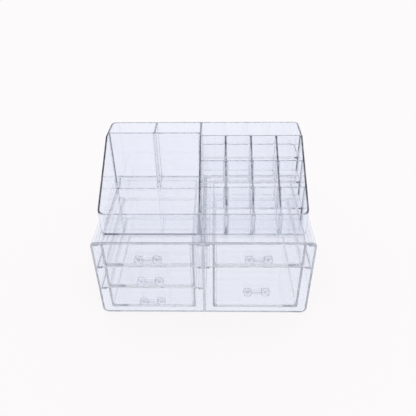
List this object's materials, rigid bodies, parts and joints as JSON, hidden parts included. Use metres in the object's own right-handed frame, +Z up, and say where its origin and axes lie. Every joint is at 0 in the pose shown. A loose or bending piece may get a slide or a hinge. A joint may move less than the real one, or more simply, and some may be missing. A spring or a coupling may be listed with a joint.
{
  "type": "makeup organizer with drawers",
  "caption": "Clear plastic makeup organizer: a cabinet of sliding drawers with bow-shaped pulls, and a loose sloping tray of stepped lipstick slots and larger compartments on top.",
  "frame": {"origin": "centre of the cabinet's flat base, on the surface that it stands on", "axes": "+Z up, +X to the right seen from the front, drawers open towards -Y"},
  "size_m": [0.238, 0.1424, 0.1825],
  "materials": {
    "clear_cabinet": "clear polished polystyrene",
    "clear_drawers": "clear polished polystyrene",
    "clear_pulls": "clear polished polystyrene, thick",
    "clear_tray": "clear polished polystyrene"
  },
  "bodies": {
    "cabinet": {"cabinet_shell": "clear_cabinet"},
    "tray": {"upper_tray": "clear_tray"},
    "left_top_drawer_unit": {"left_top_drawer": "clear_drawers", "left_top_pull": "clear_pulls"},
    "left_middle_drawer_unit": {"left_middle_drawer": "clear_drawers", "left_middle_pull": "clear_pulls"},
    "left_bottom_drawer_unit": {"left_bottom_drawer": "clear_drawers", "left_bottom_pull": "clear_pulls"},
    "right_top_drawer_unit": {"right_top_drawer": "clear_drawers", "right_top_pull": "clear_pulls"},
    "right_deep_drawer_unit": {"right_deep_drawer": "clear_drawers", "right_deep_pull": "clear_pulls"}
  },
  "joints": [
    {"name": "tray_lift", "type": "slide", "parent": "cabinet", "child": "tray", "axis": [0, 0, 1], "range_m": [0, 0.12]},
    {"name": "left_top_drawer_slide", "type": "slide", "parent": "cabinet", "child": "left_top_drawer_unit", "axis": [0, -1, 0], "range_m": [0, 0.1]},
    {"name": "left_middle_drawer_slide", "type": "slide", "parent": "cabinet", "child": "left_middle_drawer_unit", "axis": [0, -1, 0], "range_m": [0, 0.1]},
    {"name": "left_bottom_drawer_slide", "type": "slide", "parent": "cabinet", "child": "left_bottom_drawer_unit", "axis": [0, -1, 0], "range_m": [0, 0.1]},
    {"name": "right_top_drawer_slide", "type": "slide", "parent": "cabinet", "child": "right_top_drawer_unit", "axis": [0, -1, 0], "range_m": [0, 0.1]},
    {"name": "right_deep_drawer_slide", "type": "slide", "parent": "cabinet", "child": "right_deep_drawer_unit", "axis": [0, -1, 0], "range_m": [0, 0.1]}
  ]
}
